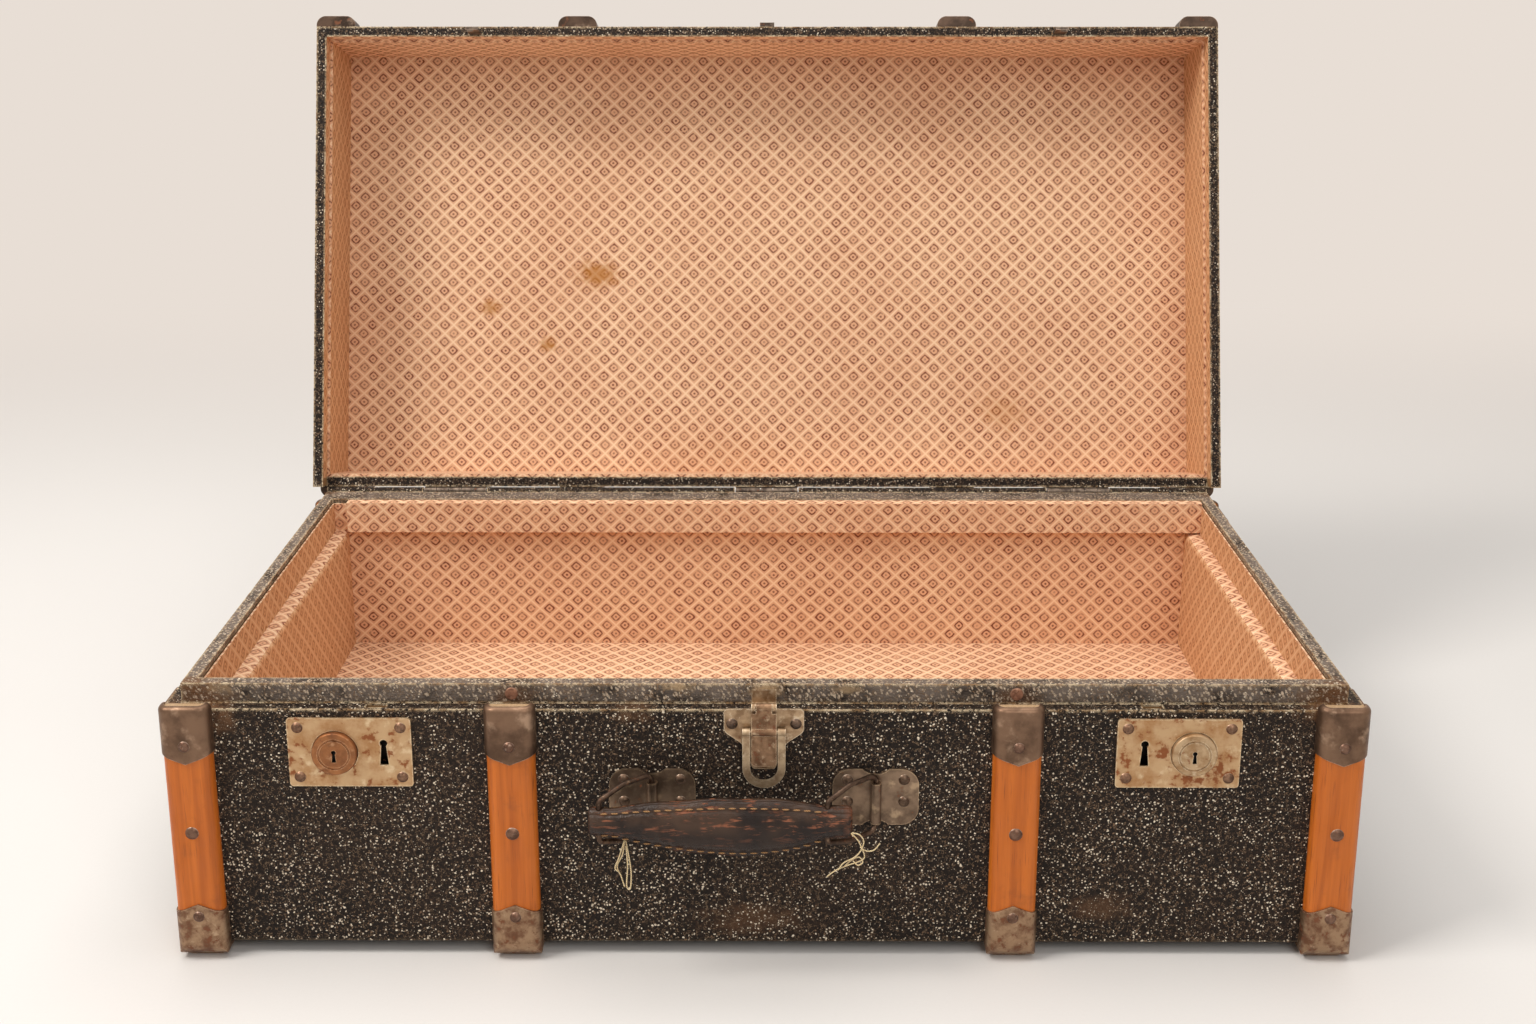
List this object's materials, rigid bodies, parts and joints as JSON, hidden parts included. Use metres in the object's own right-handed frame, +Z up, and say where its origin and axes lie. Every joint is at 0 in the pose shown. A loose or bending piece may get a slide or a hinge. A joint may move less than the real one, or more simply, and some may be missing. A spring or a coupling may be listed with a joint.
{
  "type": "travel trunk",
  "caption": "Wood-slatted travel trunk with its lid open: paper-lined case, hinged lid, two push-button locks, a drawbolt catch and a leather carrying handle on swinging rings.",
  "frame": {"origin": "on the ground under the middle of the open trunk's bounding box", "axes": "+X to the trunk's right-hand end seen from the front and along its length, -Y out of the front with the locks and handle, +Z up"},
  "size_m": [0.8724, 0.7068, 0.6581],
  "materials": {
    "plywood": "raw thin board, seen only at worn edges",
    "leathercloth": "dark pebbled leathercloth, rubbed tan at the edges",
    "lining_paper": "matt printed lattice paper on card, aged",
    "slat_wood": "worn orange varnish",
    "cap_steel": "browned and rubbed sheet steel",
    "rivet_steel": "rusty brown",
    "plated_brass": "tarnished nickel plating with brown rust",
    "lock_steel": "dull steel",
    "catch_steel": "browned steel with worn bright edges",
    "grip_leather": "near-black stitched leather, cracked and rubbed red-brown, its threads frayed"
  },
  "bodies": {
    "base": {"base_back_wall": "plywood", "base_bottom_board": "plywood", "base_covering": "leathercloth", "base_front_wall": "plywood", "base_inner_boards": "plywood", "base_lower_caps": "cap_steel", "base_side_walls": "plywood", "base_slat_rivets": "rivet_steel", "base_slats": "slat_wood", "base_upper_caps": "cap_steel", "base_wall_lining": "lining_paper", "bottom_runners": "slat_wood", "catch_lever_pin": "catch_steel", "catch_plate": "catch_steel", "catch_rivets": "rivet_steel", "floor_bearers": "plywood", "floor_board": "lining_paper", "handle_plate_left": "catch_steel", "handle_plate_right": "catch_steel", "handle_rivets": "rivet_steel", "hinge_leaves_base": "catch_steel", "hinge_pins": "catch_steel", "hinge_rail": "lining_paper", "hinge_screws_base": "rivet_steel", "joint_welts": "leathercloth", "lock_case_left": "lock_steel", "lock_case_right": "lock_steel", "lock_plate_left": "plated_brass", "lock_plate_right": "plated_brass", "lock_screws": "rivet_steel", "lock_springs": "lock_steel", "rim_studs": "rivet_steel", "tray_ledge_left": "lining_paper", "tray_ledge_right": "lining_paper"},
    "lid": {"lid_back_slats": "slat_wood", "lid_back_wall": "plywood", "lid_covering": "leathercloth", "lid_edge_caps": "cap_steel", "lid_front_slats": "slat_wood", "lid_front_wall": "plywood", "lid_keeper": "catch_steel", "lid_lining": "lining_paper", "lid_rim_caps": "cap_steel", "lid_side_walls": "plywood", "lid_slat_rivets": "rivet_steel", "lid_staples": "lock_steel", "lid_top_board": "plywood", "lid_top_slats": "slat_wood", "hinge_leaves_lid": "catch_steel", "hinge_screws_lid": "rivet_steel"},
    "lock_button_left": {"lock_button_left": "plated_brass"},
    "lock_button_right": {"lock_button_right": "plated_brass"},
    "lock_bolt_left": {"lock_bolt_left": "lock_steel"},
    "lock_bolt_right": {"lock_bolt_right": "lock_steel"},
    "catch_lever": {"catch_lever": "catch_steel", "catch_bail_pin": "catch_steel"},
    "catch_bail": {"catch_bail": "catch_steel"},
    "handle_ring_left": {"handle_ring_left": "catch_steel"},
    "handle_ring_right": {"handle_ring_right": "catch_steel"},
    "handle_grip": {"handle_grip": "grip_leather"}
  },
  "joints": [
    {"name": "lid_hinge", "type": "hinge", "parent": "base", "child": "lid", "pos_m": [0, 0.13793, 0.2142], "axis": [1, 0, 0], "range_deg": [0, 106]},
    {"name": "lock_button_left_press", "type": "slide", "parent": "base", "child": "lock_button_left", "axis": [0, 1, 0], "range_m": [0, 0.0025], "stiffness_N_per_m": 400, "springref_m": -0.002},
    {"name": "lock_bolt_left_throw", "type": "slide", "parent": "base", "child": "lock_bolt_left", "axis": [1, 0, 0], "range_m": [0, 0.006]},
    {"name": "lock_button_right_press", "type": "slide", "parent": "base", "child": "lock_button_right", "axis": [0, 1, 0], "range_m": [0, 0.0025], "stiffness_N_per_m": 400, "springref_m": -0.002},
    {"name": "lock_bolt_right_throw", "type": "slide", "parent": "base", "child": "lock_bolt_right", "axis": [-1, 0, 0], "range_m": [0, 0.006]},
    {"name": "catch_lever_hinge", "type": "hinge", "parent": "base", "child": "catch_lever", "pos_m": [0, -0.31387, 0.2027], "axis": [-1, 0, 0], "range_deg": [0, 70]},
    {"name": "catch_bail_hinge", "type": "hinge", "parent": "catch_lever", "child": "catch_bail", "pos_m": [0, -0.31547, 0.1842], "axis": [-1, 0, 0], "range_deg": [0, 110]},
    {"name": "handle_ring_left_swing", "type": "hinge", "parent": "base", "child": "handle_ring_left", "pos_m": [-0.0815, -0.31477, 0.1282], "axis": [0, 0, 1], "range_deg": [-18.5, 121.5]},
    {"name": "handle_ring_right_swing", "type": "hinge", "parent": "base", "child": "handle_ring_right", "pos_m": [0.0815, -0.31477, 0.1282], "axis": [0, 0, 1], "range_deg": [-18.5, 121.5]},
    {"name": "handle_grip_pivot", "type": "hinge", "parent": "handle_ring_left", "child": "handle_grip", "pos_m": [-0.1175, -0.3434, 0.1282], "axis": [0, 0, 1], "range_deg": [-121.5, 18.5]}
  ],
  "couplings": [
    {"joint": "lock_bolt_left_throw", "follows": "lock_button_left_press", "ratio": 2.4},
    {"joint": "lock_bolt_right_throw", "follows": "lock_button_right_press", "ratio": 2.4},
    {"joint": "handle_ring_right_swing", "follows": "handle_ring_left_swing", "ratio": 1},
    {"joint": "handle_grip_pivot", "follows": "handle_ring_left_swing", "ratio": -1}
  ]
}
